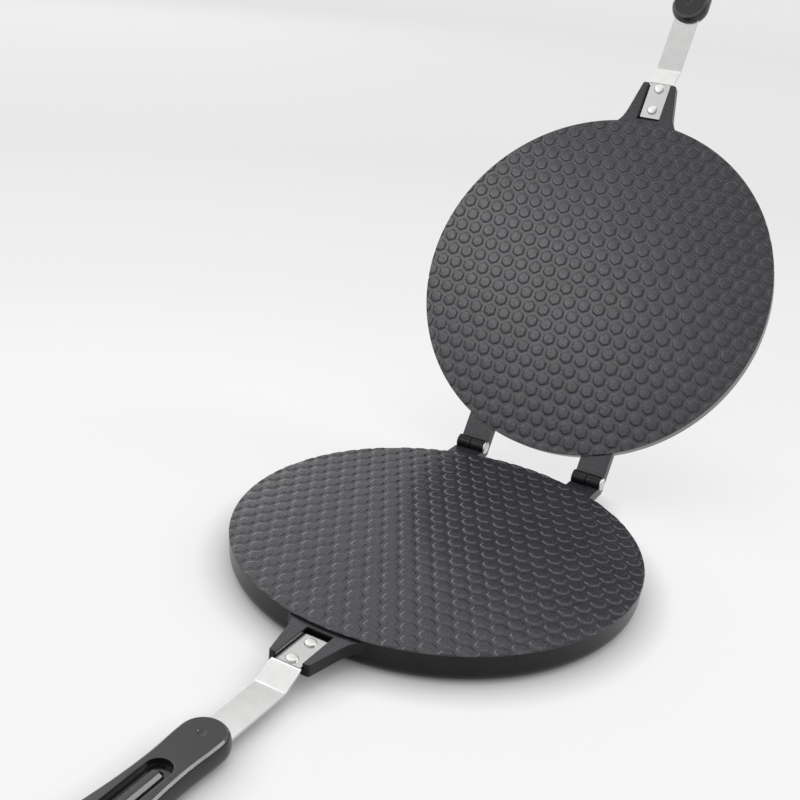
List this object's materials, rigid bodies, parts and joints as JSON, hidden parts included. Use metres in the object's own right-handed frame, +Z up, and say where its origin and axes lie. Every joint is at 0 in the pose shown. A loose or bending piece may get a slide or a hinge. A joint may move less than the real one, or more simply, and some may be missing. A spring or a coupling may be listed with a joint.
{
  "type": "egg roll maker",
  "caption": "Stove-top egg roll maker: round hinged plates with a hexagon pad pattern, each on a metal strap with a moulded handle.",
  "frame": {"origin": "centre of the lower plate's underside, level with the ring that it stands on", "axes": "+Z up, +X along the hinge pins, -Y towards the handles; the lid stands open about +X at rest"},
  "size_m": [0.2, 0.6187, 0.3559],
  "materials": {
    "coated_casting": "satin non-stick coating",
    "strap_steel": "polished sheet",
    "rivet_metal": "pressed satin heads",
    "handle_plastic": "gloss moulding with a satin flat face",
    "screw_steel": "plated",
    "pin_steel": "turned and plated"
  },
  "bodies": {
    "base": {"lower_plate": "coated_casting", "lower_strap": "strap_steel", "lower_strap_rivet_inner": "rivet_metal", "lower_strap_rivet_outer": "rivet_metal", "lower_handle": "handle_plastic", "lower_handle_screw": "screw_steel", "hinge_pin_left": "pin_steel", "hinge_pin_right": "pin_steel"},
    "lid": {"upper_plate": "coated_casting", "upper_strap": "strap_steel", "upper_strap_rivet_inner": "rivet_metal", "upper_strap_rivet_outer": "rivet_metal", "upper_handle": "handle_plastic", "upper_handle_screw": "screw_steel"}
  },
  "joints": [
    {"name": "lid_hinge", "type": "hinge", "parent": "base", "child": "lid", "pos_m": [0, 0.108, 0.01515], "axis": [1, 0, 0], "range_deg": [0, 121]}
  ]
}
